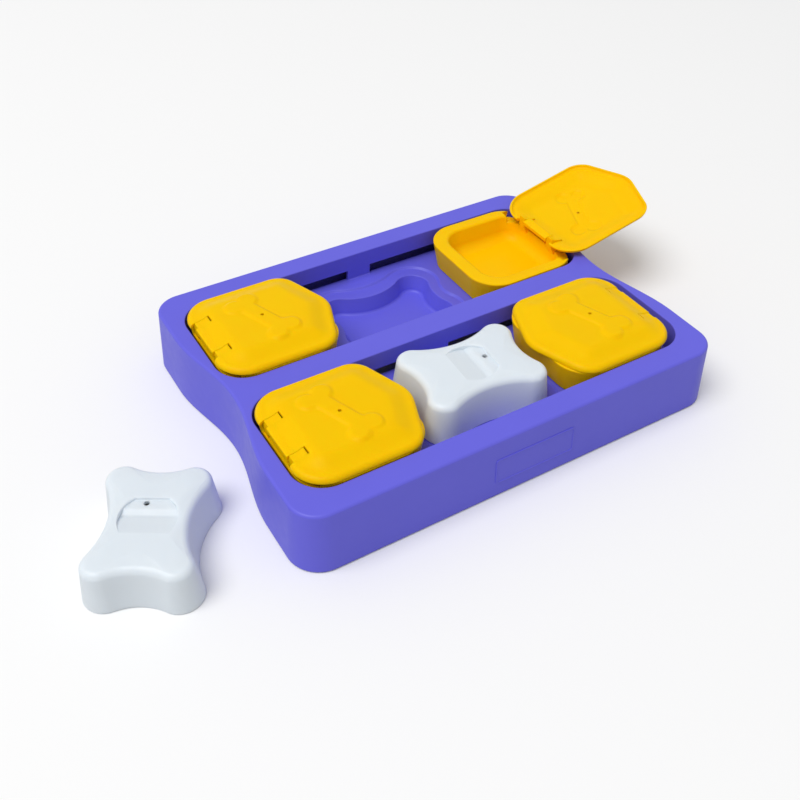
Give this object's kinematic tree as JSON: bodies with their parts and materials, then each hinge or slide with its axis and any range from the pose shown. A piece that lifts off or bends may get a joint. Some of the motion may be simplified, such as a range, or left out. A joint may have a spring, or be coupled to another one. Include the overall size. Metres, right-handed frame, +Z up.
{
  "type": "dog puzzle feeder toy",
  "caption": "Low tray with two sunken lanes, sliding lidded treat boxes at the lane ends and lift-out bone blocks over bone-shaped treat wells.",
  "frame": {"origin": "on the floor under the middle of the tray", "axes": "+X along the two lanes, towards the end with the open lid; +Y across the lanes, towards the back lane; +Z up"},
  "size_m": [0.5023, 0.246, 0.0727],
  "materials": {
    "shell": "satin moulded purple plastic",
    "boxes": "satin moulded yellow plastic",
    "lids": "satin moulded yellow plastic",
    "bones": "satin moulded white plastic",
    "feet": "matt rubber"
  },
  "bodies": {
    "base": {"tray": "shell", "foot_front_left": "feet", "foot_front_right": "feet", "foot_back_left": "feet", "foot_back_right": "feet"},
    "box_front_left": {"box_front_left": "boxes"},
    "lid_front_left": {"lid_front_left": "lids"},
    "box_front_right": {"box_front_right": "boxes"},
    "lid_front_right": {"lid_front_right": "lids"},
    "box_back_left": {"box_back_left": "boxes"},
    "lid_back_left": {"lid_back_left": "lids"},
    "box_back_right": {"box_back_right": "boxes"},
    "lid_back_right": {"lid_back_right": "lids"},
    "bone_seated": {"bone_seated": "bones"},
    "bone_loose": {"bone_loose": "bones"}
  },
  "joints": [
    {"name": "slide_front_left", "type": "slide", "parent": "base", "child": "box_front_left", "axis": [1, 0, 0], "range_m": [0, 0.0035]},
    {"name": "hinge_front_left", "type": "hinge", "parent": "box_front_left", "child": "lid_front_left", "pos_m": [-0.139, -0.056, 0.0501], "axis": [0, -1, 0], "range_deg": [0, 167]},
    {"name": "slide_front_right", "type": "slide", "parent": "base", "child": "box_front_right", "axis": [-1, 0, 0], "range_m": [-0.0055, 0.004]},
    {"name": "hinge_front_right", "type": "hinge", "parent": "box_front_right", "child": "lid_front_right", "pos_m": [0.1335, -0.056, 0.0501], "axis": [0, 1, 0], "range_deg": [0, 167]},
    {"name": "slide_back_left", "type": "slide", "parent": "base", "child": "box_back_left", "axis": [1, 0, 0], "range_m": [0, 0.049]},
    {"name": "hinge_back_left", "type": "hinge", "parent": "box_back_left", "child": "lid_back_left", "pos_m": [-0.139, 0.056, 0.0501], "axis": [0, -1, 0], "range_deg": [0, 167]},
    {"name": "slide_back_right", "type": "slide", "parent": "base", "child": "box_back_right", "axis": [-1, 0, 0], "range_m": [0, 0.049]},
    {"name": "hinge_back_right", "type": "hinge", "parent": "box_back_right", "child": "lid_back_right", "pos_m": [0.139, 0.056, 0.0501], "axis": [0, 1, 0], "range_deg": [-167, 0]},
    {"name": "lift_bone_seated", "type": "slide", "parent": "base", "child": "bone_seated", "axis": [0, 0, 1], "range_m": [0, 0.06]},
    {"name": "lift_bone_loose", "type": "slide", "parent": "base", "child": "bone_loose", "axis": [0, 0, 1], "range_m": [0, 0.015]}
  ]
}
